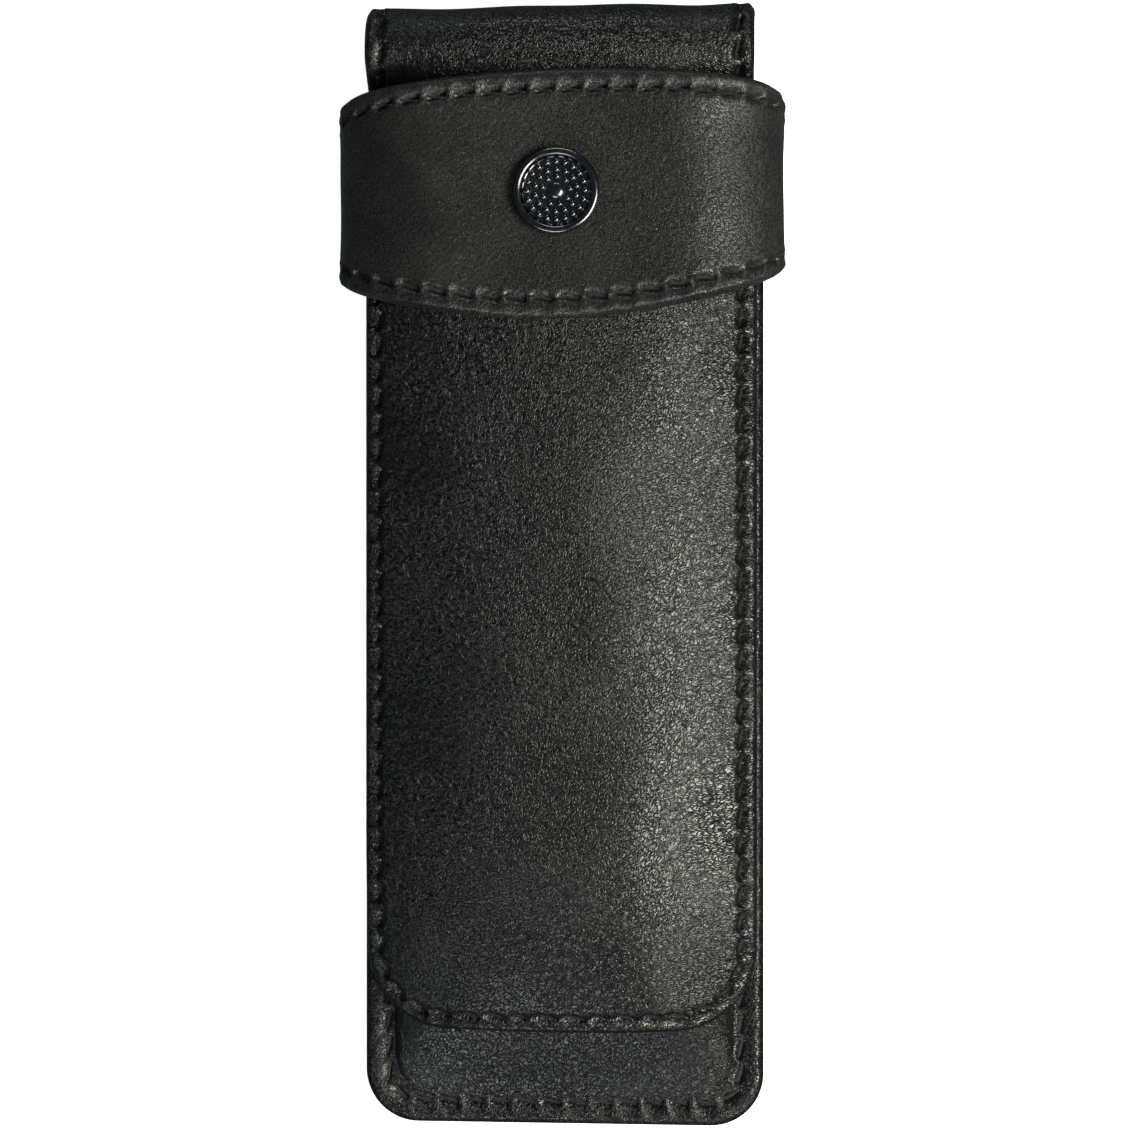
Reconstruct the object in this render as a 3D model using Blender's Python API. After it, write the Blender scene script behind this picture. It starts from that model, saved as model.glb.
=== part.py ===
"""Leather case for two fountain pens, lying on its back.

X is the width, Y the length with the fold at +Y, and Z points out of the front. The origin is the middle
of the underside. One long leather is the back, the fold and the flap; rigid solids stand for its stretches.
A pocket is sewn to the back, and the flap is tucked under a fixed band that carries a round metal badge.
"""
import math

import bmesh
import bpy
from mathutils import Matrix, Vector

MM = 0.001

# Body
CASE_LENGTH = 162.0 * MM
BODY_HALF_WIDTH = 29.2 * MM
BODY_CORNER_RADIUS = 7.8 * MM
SEAM_FLANGE = 4.4 * MM  # flat rim of the pocket outside its moulded front
MOUTH_Y = 65.5 * MM  # where the pocket opens
POCKET_TOP = 16.6 * MM  # height of the moulded front
POCKET_RAMP = 38.0 * MM  # length over which its closed end rises
POCKET_ROUNDING = 2 / 3  # a lower power squares the moulded front's cross-section more
FOOT_CORNER_RADIUS = 5.8 * MM  # the moulded front's corner where it stands on the flange

# Flap, fold and back, which are one long leather
FLAP_HALF_WIDTH = 28.5 * MM
NECK_HALF_WIDTH = 27.85 * MM  # above the pocket's mouth, in the fold and in the back alike
NECK_NARROWS = (40.0 * MM, 64.0 * MM)  # where the flap narrows to its neck
FLAP_TIP_Y = -66.1 * MM
FLAP_TIP_RADIUS = 12.0 * MM
FLAP_TOP = 20.8 * MM  # height of the flap's middle
SIDE_DROP = 8.2 * MM  # how far its side edges lie below the middle
DROP_POWER = 2.3
TIP_DROP = 6.0 * MM  # the flap follows the pocket down towards its closed end
TIP_DROP_LENGTH = 30.0 * MM
FOLD_DROP_SHARE = 0.3  # share of the side drop that is left at the fold
FOLD_DROP_START = 66.0 * MM  # from here on the side drop grows less towards the fold
FOLD_RADIUS = 6.8 * MM  # outside radius of each of the fold's two bends
NECK_END_Y = 33.0 * MM  # the neck passes under the band, the tail lies free below it

# Layers
LEATHER = 1.0 * MM
BOARD = 0.5 * MM
LINING = 0.5 * MM
GAP = 0.3 * MM
PANEL = LEATHER + GAP + BOARD + GAP + LINING  # a whole panel
BOARD_INSET = 4.6 * MM
DIVIDER = 1.2 * MM
DIVIDER_START = 12.0 * MM  # from the closed end of the moulded front
DIVIDER_END = 4.0 * MM  # from the mouth
LINING_START = 6.0 * MM  # the pocket's lining, from the closed end of the moulded front
LINING_MOUTH_INSET = 0.8 * MM
LINING_EDGE_INSET = 0.6 * MM

# Band
BAND_Y = 53.1 * MM
BAND_BOW = 1.7 * MM  # its ends lie this much nearer the fold than its middle
BAND_HALF_HEIGHT = 17.5 * MM
BAND_TAPER = 0.0036 / MM  # its half height falls by this times the square of the distance from its middle
BAND_FOOT_HALF_HEIGHT = 10.0 * MM
BAND_TILT = math.radians(1.2)
BAND_TOP = 23.1 * MM
BAND_HALF_WIDTH = 31.7 * MM
BAND_WIDEST_Z = 8.5 * MM
BAND_POWER = 3.0
BAND_FOOT_X = 25.8 * MM
BAND_BEND_X = 27.0 * MM  # where the foot starts to turn up
NOTCH_SPARE = 0.9 * MM
NOTCH_LEDGE = 0.4 * MM  # what the notch for the band's foot leaves of the flange
NOTCH_STEP = 0.2 * MM  # length over which the notch deepens

# Thread and its distances from the edges
THREAD_RADIUS = 0.3 * MM
BODY_STITCH_INSET = 3.5 * MM
FLAP_STITCH_INSET = 3.1 * MM
BAND_STITCH_INSET = 2.9 * MM
BAND_STITCH_END_X = 30.3 * MM
MOUTH_STITCH_INSET = 2.5 * MM
MOUTH_STITCH_START = 0.12  # share of the moulded front's half turn left free at each end of its stitching
STITCH_LIFT = 0.6 * MM  # height of a thread's middle above the leather

# Badge
BADGE_Y = 53.35 * MM
BADGE_RADIUS = 6.1 * MM
BADGE_HEIGHT = 1.2 * MM
POST_RADIUS = 1.3 * MM
POST_CLEARANCE = 0.35 * MM
POST_LENGTH = 1.5 * MM  # how far the post reaches below the band's crown
WASHER_RADIUS = 4.5 * MM

# Worked out from the above
TOP_Y = CASE_LENGTH / 2
BOTTOM_Y = -CASE_LENGTH / 2
BEND_Y = TOP_Y - FOLD_RADIUS  # where both bends start
SEAM_Z = PANEL + GAP + LEATHER  # top of the pocket's flange
FOOT_Z = PANEL + GAP
BEND_MIDDLE_RADIUS = FOLD_RADIUS - PANEL / 2
HINGE_Y = BEND_Y + BEND_MIDDLE_RADIUS * math.pi / 4
BACK_HINGE_Z = PANEL / 2 + BEND_MIDDLE_RADIUS * (1 - math.pi / 4)
FRONT_HINGE_Z = FLAP_TOP - BACK_HINGE_Z
BEND_GAP_ANGLE = GAP / FOLD_RADIUS

MATERIALS = {  # colour, roughness, metallic
    "black_leather": ((0.020, 0.022, 0.021), 0.45, 0.0),
    "lining": ((0.035, 0.034, 0.033), 0.85, 0.0),
    "board": ((0.22, 0.17, 0.12), 0.90, 0.0),
    "padding": ((0.10, 0.10, 0.10), 0.95, 0.0),
    "thread": ((0.012, 0.013, 0.013), 0.60, 0.0),
    "gunmetal": ((0.10, 0.10, 0.11), 0.18, 1.0),
    "steel": ((0.55, 0.55, 0.56), 0.35, 1.0),
}


def clear_scene():
    for thing in list(bpy.data.objects):
        bpy.data.objects.remove(thing)


def material(name):
    found = bpy.data.materials.get(name)
    if found:
        return found
    made = bpy.data.materials.new(name)
    made.use_nodes = True
    colour, roughness, metallic = MATERIALS[name]
    shader = made.node_tree.nodes["Principled BSDF"]
    shader.inputs["Base Color"].default_value = (*colour, 1.0)
    shader.inputs["Roughness"].default_value = roughness
    shader.inputs["Metallic"].default_value = metallic
    return made


def smooth_step(start, end, value):
    t = min(max((value - start) / (end - start), 0.0), 1.0)
    return t * t * (3 - 2 * t)


def steps(start, end, count):
    """count + 1 evenly spaced values from start to end."""
    return [start + (end - start) * i / count for i in range(count + 1)]


def rounded_steps(start, radius, count):
    """Values from start over one corner radius, at equal angles round the corner."""
    return [start + radius * (1 - math.cos(math.pi / 2 * i / count)) for i in range(count + 1)]


def corner_narrowing(distance, radius):
    """How much a rounded corner narrows an outline, at a distance from its end."""
    if distance >= radius:
        return 0.0
    return radius - math.sqrt(max(radius**2 - (radius - distance) ** 2, 0.0))


# Outlines and heights

def body_half_width(y):
    narrowing = corner_narrowing(y - BOTTOM_Y, BODY_CORNER_RADIUS)
    above_mouth = smooth_step(MOUTH_Y - MM, MOUTH_Y + MM, y) * (BODY_HALF_WIDTH - NECK_HALF_WIDTH)
    return BODY_HALF_WIDTH - narrowing - above_mouth


def flap_half_width(y):
    neck = smooth_step(*NECK_NARROWS, y) * (FLAP_HALF_WIDTH - NECK_HALF_WIDTH)
    return FLAP_HALF_WIDTH - corner_narrowing(y - FLAP_TIP_Y, FLAP_TIP_RADIUS) - neck


def side_drop(x, y):
    """Drop of the flap's top face: its sides are pulled down under the band, and less so at the fold."""
    share = 1 - (1 - FOLD_DROP_SHARE) * smooth_step(FOLD_DROP_START, BEND_Y, y)
    return share * SIDE_DROP * (abs(x) / FLAP_HALF_WIDTH) ** DROP_POWER


def flap_z(x, y):
    past_tip_start = max(FLAP_TIP_Y + TIP_DROP_LENGTH - y, 0.0)
    return FLAP_TOP - side_drop(x, y) - TIP_DROP * (past_tip_start / TIP_DROP_LENGTH) ** 2


def pocket_half_width(y):
    end_y = BOTTOM_Y + SEAM_FLANGE
    half = BODY_HALF_WIDTH - SEAM_FLANGE
    return half - corner_narrowing(max(y - end_y, 0.0), FOOT_CORNER_RADIUS)


def pocket_height(y):
    """Height of the moulded front above the seam: its closed end rises as a quarter of a sine wave."""
    t = min(max((y - BOTTOM_Y - SEAM_FLANGE) / POCKET_RAMP, 0.0), 1.0)
    return (POCKET_TOP - SEAM_Z) * math.sin(math.pi / 2 * t)


def pocket_point(angle, y):
    """Point of the moulded front's outside, for an angle from 0 at its right foot to pi at its left."""
    x = pocket_half_width(y) * math.copysign(abs(math.cos(angle)) ** POCKET_ROUNDING, math.cos(angle))
    return Vector((x, y, SEAM_Z + pocket_height(y) * math.sin(angle)))


def band_path(count=14):
    """The band's outside in the XZ plane, from the left foot over the crown to the right foot."""
    quarter = []
    for angle in steps(math.pi / 2, 0.0, count):
        x = BAND_HALF_WIDTH * math.sin(math.pi / 2 - angle) ** (2 / BAND_POWER)
        z = BAND_WIDEST_Z + (BAND_TOP - BAND_WIDEST_Z) * math.sin(angle) ** (2 / BAND_POWER)
        quarter.append((x, z))
    turn_width = BAND_HALF_WIDTH - BAND_BEND_X
    turn_height = BAND_WIDEST_Z - FOOT_Z
    for angle in steps(0.0, math.pi / 2, 5)[1:]:
        x = BAND_BEND_X + turn_width * math.cos(angle)
        quarter.append((x, BAND_WIDEST_Z - turn_height * math.sin(angle)))
    quarter.append((BAND_FOOT_X, FOOT_Z))
    return [(-x, z) for x, z in reversed(quarter[1:])] + quarter


def path_distances(path):
    """Signed distance of each point of the band's path from its middle."""
    middle = len(path) // 2
    along = [0.0]
    for a, b in zip(path, path[1:]):
        along.append(along[-1] + math.dist(a, b))
    return [d - along[middle] for d in along]


def with_normals(rows):
    """Pairs each point of a grid with the grid's normal there, from the points on either side of it."""
    pairs = []
    for j, row in enumerate(rows):
        below, above = rows[max(j - 1, 0)], rows[min(j + 1, len(rows) - 1)]
        pairs.append([])
        for i, point in enumerate(row):
            across = row[min(i + 1, len(row) - 1)] - row[max(i - 1, 0)]
            pairs[-1].append((point, across.cross(above[i] - below[i]).normalized()))
    return pairs


def path_normals(path):
    """Outward normal at each point of a path in the XZ plane that runs from left to right over the case."""
    ends = zip([path[0]] + path[:-1], path[1:] + [path[-1]])
    return [Vector((a[1] - b[1], 0, b[0] - a[0])).normalized() for a, b in ends]


def band_half_height(distance):
    return max(BAND_HALF_HEIGHT - BAND_TAPER * distance**2, BAND_FOOT_HALF_HEIGHT)


def band_middle_y(x):
    return BAND_Y + x * math.tan(BAND_TILT) + BAND_BOW * (x / BAND_HALF_WIDTH) ** 2


# Making solids

def add_object(name, data, material_name, pivot=None):
    made = bpy.data.objects.new(name, data)
    bpy.context.collection.objects.link(made)
    data.materials.append(material(material_name))
    if pivot:
        data.transform(Matrix.Translation(-pivot.matrix_world.translation))
        made.parent = pivot
    return made


def add_mesh(name, bm, material_name, pivot=None):
    mesh = bpy.data.meshes.new(name)
    bm.to_mesh(mesh)
    bm.free()
    mesh.shade_smooth()
    mesh.set_sharp_from_angle(angle=math.radians(40))
    return add_object(name, mesh, material_name, pivot)


def sheet(name, rows, depth, thickness, material_name, pivot=None):
    """A closed skin of the given thickness, the given depth under a grid of (point, outward normal) pairs."""
    bm = bmesh.new()
    outer = [[bm.verts.new(point - normal * depth) for point, normal in row] for row in rows]
    inner = [[bm.verts.new(point - normal * (depth + thickness)) for point, normal in row] for row in rows]
    for low, high in zip(outer, outer[1:]):
        for i in range(len(low) - 1):
            bm.faces.new((low[i], low[i + 1], high[i + 1], high[i]))
    for low, high in zip(inner, inner[1:]):
        for i in range(len(low) - 1):
            bm.faces.new((low[i], high[i], high[i + 1], low[i + 1]))
    border = [edge for edge in bm.edges if edge.is_boundary]
    bmesh.ops.bridge_loops(bm, edges=border)
    bmesh.ops.recalc_face_normals(bm, faces=bm.faces)
    return add_mesh(name, bm, material_name, pivot)


def plate(name, outline, low, high, material_name, pivot=None, axis="Z"):
    """A flat piece: an outline in XY raised along Z, or in YZ raised along X."""
    bm = bmesh.new()
    lift = Vector((0, 0, high - low))
    places = [Vector((a, b, low)) for a, b in outline]
    if axis == "X":
        lift = Vector((high - low, 0, 0))
        places = [Vector((low, a, b)) for a, b in outline]
    face = bm.faces.new([bm.verts.new(place) for place in places])
    raised = bmesh.ops.extrude_face_region(bm, geom=[face])["geom"]
    bmesh.ops.translate(bm, vec=lift, verts=[v for v in raised if isinstance(v, bmesh.types.BMVert)])
    bmesh.ops.recalc_face_normals(bm, faces=bm.faces)
    return add_mesh(name, bm, material_name, pivot)


def turned(name, profile, centre, material_name):
    """A closed profile of (radius, z) pairs turned about a vertical axis."""
    bm = bmesh.new()
    points = [bm.verts.new((radius, 0, z)) for radius, z in profile]
    edges = [bm.edges.new(pair) for pair in zip(points, points[1:])]
    if profile[0][0] > 0:
        edges.append(bm.edges.new((points[-1], points[0])))
    bmesh.ops.spin(bm, geom=points + edges, cent=(0, 0, 0), axis=(0, 0, 1), angle=math.tau, steps=36)
    bmesh.ops.remove_doubles(bm, verts=bm.verts, dist=0.00001)
    bmesh.ops.recalc_face_normals(bm, faces=bm.faces)
    made = add_mesh(name, bm, material_name)
    made.location = centre
    return made


def thread(name, points, pivot=None):
    """One run of stitching, as a continuous thread."""
    curve = bpy.data.curves.new(name, "CURVE")
    curve.dimensions = "3D"
    spline = curve.splines.new("POLY")
    spline.points.add(len(points) - 1)
    for place, point in zip(points, spline.points):
        point.co = (*place, 1.0)
    curve.bevel_depth = THREAD_RADIUS
    curve.bevel_resolution = 1
    curve.use_fill_caps = True
    return add_object(name, curve, "thread", pivot)


def cut_round_hole(piece, radius, centre, low, high):
    """A straight vertical hole through a piece."""
    bm = bmesh.new()
    bmesh.ops.create_cone(bm, cap_ends=True, segments=24, radius1=radius, radius2=radius, depth=high - low)
    cutter = add_mesh(piece.name + "_cutter", bm, "steel")
    cutter.location = (centre[0], centre[1], (low + high) / 2)
    cutter.hide_render = True
    cutter.display_type = "WIRE"
    hole = piece.modifiers.new("Hole", "BOOLEAN")
    hole.operation = "DIFFERENCE"
    hole.solver = "EXACT"
    hole.object = cutter


def body_outline(inset, top_y):
    """Outline of the back in XY: rounded corners at the bottom, narrower above the pocket's mouth."""
    ys = rounded_steps(BOTTOM_Y, BODY_CORNER_RADIUS, 6) + [MOUTH_Y - MM, MOUTH_Y + MM, top_y]
    scale = (BODY_HALF_WIDTH - inset) / BODY_HALF_WIDTH
    right = [(body_half_width(y) * scale, max(y, BOTTOM_Y + inset)) for y in ys]
    kept = [p for i, p in enumerate(right) if i == 0 or p[1] > right[i - 1][1] + 0.01 * MM]
    return kept + [(-x, y) for x, y in reversed(kept)]


def make_back():
    top_y = BEND_Y - GAP / 2
    plate("back_panel_leather", body_outline(0.0, top_y), 0.0, LEATHER, "black_leather")
    board_low = LEATHER + GAP
    board_outline = body_outline(BOARD_INSET, BEND_Y - 2 * MM)
    plate("back_stiffener", board_outline, board_low, board_low + BOARD, "board")
    plate("back_lining", body_outline(LINING_EDGE_INSET, top_y), PANEL - LINING, PANEL, "lining")


def pocket_rows(inset_mouth):
    """Values of Y for the pocket: close together where its corners and its closed end curve."""
    end_y = BOTTOM_Y + SEAM_FLANGE
    ramp = steps(end_y, end_y + POCKET_RAMP, 8)
    corner = [y for y in rounded_steps(BOTTOM_Y, BODY_CORNER_RADIUS, 6) if y < end_y - NOTCH_STEP]
    return corner + ramp + [0.0, MOUTH_Y - inset_mouth]


def notch_ends(side):
    """Y of the ends of the notch in the flange that the band's foot sits in, on the side +1 or -1."""
    middle = band_middle_y(side * BODY_HALF_WIDTH)
    half = BAND_FOOT_HALF_HEIGHT + NOTCH_SPARE
    return middle - half, middle + half


def notch_rows():
    """Values of Y where the two notches start and end, and where they have their full depth."""
    ends = [notch_ends(side) for side in (-1, 1)]
    outer = [y for pair in ends for y in pair]
    return outer + [low + NOTCH_STEP for low, _ in ends] + [high - NOTCH_STEP for _, high in ends]


def flange_end(side, y):
    """Outer edge of the pocket's flange, which is notched for the band's foot."""
    low, high = notch_ends(side)
    foot = pocket_half_width(y)
    outer = foot + NOTCH_LEDGE if low < y < high else max(body_half_width(y), foot + NOTCH_STEP)
    return Vector((side * outer, y, SEAM_Z))


def pocket_row(y, angles):
    """Points across the pocket from left to right. Below the moulded end the flange is flat right across."""
    row = [flange_end(-1, y)] + [pocket_point(angle, y) for angle in reversed(angles)] + [flange_end(1, y)]
    if y < BOTTOM_Y + SEAM_FLANGE:
        half = body_half_width(y)
        row = [Vector((x, y, SEAM_Z)) for x in steps(-half, half, len(row) - 1)]
    return row


def make_pocket():
    angles = steps(0.0, math.pi, 16)
    rows = [pocket_row(y, angles) for y in sorted(pocket_rows(0.0) + notch_rows())]
    sheet("pocket_front_leather", with_normals(rows), 0.0, LEATHER, "black_leather")
    lined = [y for y in pocket_rows(LINING_MOUTH_INSET) if y > BOTTOM_Y + SEAM_FLANGE + LINING_START]
    lining_rows = [[pocket_point(angle, y) for angle in reversed(angles)] for y in lined]
    sheet("pocket_front_lining", with_normals(lining_rows), LEATHER + GAP, LINING, "lining")


def make_divider():
    """A wall along the middle of the pocket, its top edge just under the lining."""
    under = LEATHER + GAP + LINING + 2 * GAP
    floor = PANEL + GAP
    start = BOTTOM_Y + SEAM_FLANGE + DIVIDER_START
    end = MOUTH_Y - DIVIDER_END
    bevel = 4 * MM
    top = [(y, SEAM_Z + pocket_height(y) - under) for y in steps(start, start + POCKET_RAMP, 6)]
    ceiling = top[-1][1]
    profile = [(start, floor)] + top + [(end - bevel, ceiling), (end, ceiling - bevel), (end, floor)]
    plate("pen_divider", profile, -DIVIDER / 2, DIVIDER / 2, "lining", axis="X")


def make_body_stitching():
    z = SEAM_Z + STITCH_LIFT
    inset_x = BODY_HALF_WIDTH - BODY_STITCH_INSET
    radius = BODY_CORNER_RADIUS - BODY_STITCH_INSET
    right = [Vector((inset_x, y, z)) for y in steps(notch_ends(1)[0] - MM, BOTTOM_Y + BODY_CORNER_RADIUS, 4)]
    centre = Vector((inset_x - radius, BOTTOM_Y + BODY_CORNER_RADIUS, z))
    for angle in steps(0.0, -math.pi / 2, 5)[1:]:
        right.append(centre + radius * Vector((math.cos(angle), math.sin(angle), 0)))
    left = [Vector((-p.x, p.y, p.z)) for p in reversed(right)]
    left[-1].y = notch_ends(-1)[0] - MM
    thread("body_stitching", right + left)
    mouth_y = MOUTH_Y - MOUTH_STITCH_INSET
    mouth = []
    for angle in steps(MOUTH_STITCH_START * math.pi, (1 - MOUTH_STITCH_START) * math.pi, 16):
        at = pocket_point(angle, mouth_y)
        ahead = pocket_point(angle + 0.01, mouth_y) - pocket_point(angle - 0.01, mouth_y)
        out = Vector((ahead.z, 0, -ahead.x)).normalized()
        mouth.append(at + out * STITCH_LIFT)
    thread("mouth_stitching", mouth)


def bend_rows(centre_z, first_angle, last_angle, outer_drop):
    """Quarter-round grid across the case, about an axis along X at the fold."""
    rows = []
    for angle in steps(first_angle, last_angle, 6):
        row = []
        for x in steps(-NECK_HALF_WIDTH, NECK_HALF_WIDTH, 12):
            y = BEND_Y + FOLD_RADIUS * math.cos(angle)
            z = centre_z + FOLD_RADIUS * math.sin(angle) - outer_drop * side_drop(x, BEND_Y)
            row.append((Vector((x, y, z)), Vector((0, math.cos(angle), math.sin(angle)))))
        rows.append(row)
    return rows


def make_back_bend():
    rows = bend_rows(FOLD_RADIUS, -math.pi / 2 + BEND_GAP_ANGLE, -BEND_GAP_ANGLE, 0.0)
    sheet("back_bend_leather", rows, 0.0, LEATHER, "black_leather")
    sheet("back_bend_lining", rows, PANEL - LINING, LINING, "lining")


def make_fold_wall(pivot):
    low = FOLD_RADIUS + GAP
    rows = []
    for share in (0.0, 1.0):
        row = []
        for x in steps(-NECK_HALF_WIDTH, NECK_HALF_WIDTH, 12):
            high = FLAP_TOP - FOLD_RADIUS - GAP - side_drop(x, BEND_Y)
            row.append((Vector((x, TOP_Y, low + share * (high - low))), Vector((0, 1, 0))))
        rows.append(row)
    sheet("fold_wall_leather", rows, 0.0, LEATHER, "black_leather", pivot)
    sheet("fold_wall_lining", rows, PANEL - LINING, LINING, "lining", pivot)


def flap_grid(ys, inset, columns):
    rows = []
    for y in ys:
        half = flap_half_width(y) - inset
        rows.append([(Vector((x, y, flap_z(x, y))), Vector((0, 0, 1))) for x in steps(-half, half, columns)])
    return rows


def make_flap(pivot):
    bend = bend_rows(FLAP_TOP - FOLD_RADIUS, BEND_GAP_ANGLE, math.pi / 2 - BEND_GAP_ANGLE, 1.0)
    sheet("front_bend_leather", bend, 0.0, LEATHER, "black_leather", pivot)
    sheet("front_bend_lining", bend, PANEL - LINING, LINING, "lining", pivot)
    neck = flap_grid(steps(NECK_END_Y + GAP, BEND_Y - GAP, 9), 0.0, 16)
    sheet("flap_neck_leather", neck, 0.0, LEATHER, "black_leather", pivot)
    sheet("flap_neck_lining", neck, PANEL - LINING, LINING, "lining", pivot)
    tip = rounded_steps(FLAP_TIP_Y, FLAP_TIP_RADIUS, 8)
    tail_ys = tip + [tip[-1] + 3 * MM, -20 * MM, NECK_END_Y]
    tail = flap_grid(tail_ys, 0.0, 16)
    sheet("flap_tail_leather", tail, 0.0, LEATHER, "black_leather", pivot)
    sheet("flap_tail_lining", tail, PANEL - LINING, LINING, "lining", pivot)
    padded_ys = [y for y in tail_ys[:-1] if y > FLAP_TIP_Y + BOARD_INSET] + [NECK_END_Y - 2 * MM]
    padding = flap_grid(padded_ys, BOARD_INSET, 12)
    sheet("flap_tail_padding", padding, LEATHER + GAP, BOARD, "padding", pivot)


def make_flap_stitching(pivot):
    radius = FLAP_TIP_RADIUS - FLAP_STITCH_INSET
    side_x = FLAP_HALF_WIDTH - FLAP_STITCH_INSET
    centre_y = FLAP_TIP_Y + FLAP_TIP_RADIUS
    right = [(side_x, y) for y in steps(NECK_END_Y - MM, centre_y, 8)]
    for angle in steps(0.0, -math.pi / 2, 7)[1:]:
        right.append((side_x - radius + radius * math.cos(angle), centre_y + radius * math.sin(angle)))
    half = right[-1][0]
    across = [(x, right[-1][1]) for x in steps(half, -half, 6)[1:-1]]
    outline = right + across + [(-x, y) for x, y in reversed(right)]
    lift = STITCH_LIFT + 0.2 * MM  # more, because the leather slopes under it
    thread("flap_stitching", [Vector((x, y, flap_z(x, y) + lift)) for x, y in outline], pivot)


def band_rows(path, distances):
    """Grid over the band: one row for each point of its path, from its lower to its upper edge."""
    rows = []
    for (x, z), distance, normal in zip(path, distances, path_normals(path)):
        half = band_half_height(distance)
        ys = [band_middle_y(x) + half * share for share in (-1.0, -0.5, 0.0, 0.5, 1.0)]
        rows.append([(Vector((x, y, z)), normal) for y in ys])
    return rows


def make_band():
    path = band_path()
    distances = path_distances(path)
    rows = band_rows(path, distances)
    leather = sheet("band_leather", rows, 0.0, LEATHER, "black_leather")
    lining = sheet("band_lining", rows[1:-1], LEATHER + GAP, LINING, "lining")
    badge_at = (0.0, BADGE_Y)
    inside = BAND_TOP - 3 * MM
    cut_round_hole(leather, POST_RADIUS + POST_CLEARANCE, badge_at, inside, BAND_TOP + MM)
    cut_round_hole(lining, WASHER_RADIUS + POST_CLEARANCE, badge_at, inside, BAND_TOP + MM)
    lift = STITCH_LIFT + 0.1 * MM
    for name, side in (("band_upper_stitching", 1), ("band_lower_stitching", -1)):
        points = []
        for (x, z), distance, out in zip(path, distances, path_normals(path)):
            y = band_middle_y(x) + side * (band_half_height(distance) - BAND_STITCH_INSET)
            if abs(x) < BAND_STITCH_END_X and z > BAND_WIDEST_Z:
                points.append(Vector((x, y, z)) + out * lift)
        thread(name, points)
    for name, side in (("band_foot_stitching_left", -1), ("band_foot_stitching_right", 1)):
        x = side * BAND_BEND_X
        half = BAND_FOOT_HALF_HEIGHT - MM
        z = FOOT_Z + LEATHER + GAP + LINING + STITCH_LIFT + 0.1 * MM
        thread(name, [Vector((x, band_middle_y(x) + half * share, z)) for share in (-1.0, 0.0, 1.0)])


def make_badge():
    under = BAND_TOP + GAP
    top = under + BADGE_HEIGHT
    rim = 1.1 * MM
    field = BADGE_RADIUS - rim
    profile = [
        (0.0, top - 0.1 * MM),
        (field * 0.6, top - 0.2 * MM),
        (field, top - 0.4 * MM),
        (field + 0.2 * MM, top - 0.1 * MM),
        (field + 0.5 * rim, top),
        (BADGE_RADIUS - 0.2 * MM, top - 0.15 * MM),
        (BADGE_RADIUS, top - 0.5 * MM),
        (BADGE_RADIUS, under + 0.3 * MM),
        (BADGE_RADIUS - 0.3 * MM, under),
        (POST_RADIUS, under),
        (POST_RADIUS, BAND_TOP - POST_LENGTH),
        (0.0, BAND_TOP - POST_LENGTH),
    ]
    centre = (0.0, BADGE_Y, 0.0)
    turned("badge_cap", profile, centre, "gunmetal")
    washer_top = BAND_TOP - LEATHER - GAP - 0.05 * MM
    washer_low = washer_top - 0.4 * MM
    bore = POST_RADIUS + POST_CLEARANCE
    ring = [(bore, washer_top), (WASHER_RADIUS, washer_top), (WASHER_RADIUS, washer_low), (bore, washer_low)]
    turned("badge_washer", ring, centre, "steel")


def add_pivot(name, place, parent=None):
    empty = bpy.data.objects.new(name, None)
    bpy.context.collection.objects.link(empty)
    empty.parent = parent
    empty.location = Vector(place) - (parent.location if parent else Vector())
    bpy.context.view_layer.update()
    return empty


def main():
    clear_scene()
    back_fold = add_pivot("back_fold_axis", (0, HINGE_Y, BACK_HINGE_Z))
    front_fold = add_pivot("front_fold_axis", (0, HINGE_Y, FRONT_HINGE_Z), back_fold)
    make_back()
    make_back_bend()
    make_pocket()
    make_divider()
    make_body_stitching()
    make_band()
    make_badge()
    make_fold_wall(back_fold)
    make_flap(front_fold)
    make_flap_stitching(front_fold)


main()
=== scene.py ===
"""Looks of a leather case for two fountain pens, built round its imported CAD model.

X is the width, Y the length with the fold at +Y, and Z points out of the front. Lengths are in millimetres
until a mesh is made. Each leather lies on a surface by two coordinates: x across it and s along it.
"""

import math

import bmesh
import bpy
import numpy as np
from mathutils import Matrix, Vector


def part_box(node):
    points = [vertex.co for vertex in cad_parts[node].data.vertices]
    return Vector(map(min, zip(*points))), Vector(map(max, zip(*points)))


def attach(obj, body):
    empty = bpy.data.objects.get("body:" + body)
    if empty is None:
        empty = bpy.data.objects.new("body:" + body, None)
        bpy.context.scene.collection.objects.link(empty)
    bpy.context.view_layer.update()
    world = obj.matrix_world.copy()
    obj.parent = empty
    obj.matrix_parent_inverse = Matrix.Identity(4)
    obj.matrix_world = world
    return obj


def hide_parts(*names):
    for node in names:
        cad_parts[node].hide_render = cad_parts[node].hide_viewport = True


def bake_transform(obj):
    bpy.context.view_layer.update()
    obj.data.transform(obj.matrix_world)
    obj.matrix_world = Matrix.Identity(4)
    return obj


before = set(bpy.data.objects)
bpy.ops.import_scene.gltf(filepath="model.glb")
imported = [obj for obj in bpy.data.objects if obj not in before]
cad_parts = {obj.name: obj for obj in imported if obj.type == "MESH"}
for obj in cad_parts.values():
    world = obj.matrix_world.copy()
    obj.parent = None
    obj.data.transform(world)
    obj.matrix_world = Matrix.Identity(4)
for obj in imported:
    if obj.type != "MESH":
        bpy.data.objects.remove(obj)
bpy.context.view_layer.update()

MM = 0.001


def box_mm(node):
    low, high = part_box(node)
    return np.array(low) / MM, np.array(high) / MM


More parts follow.
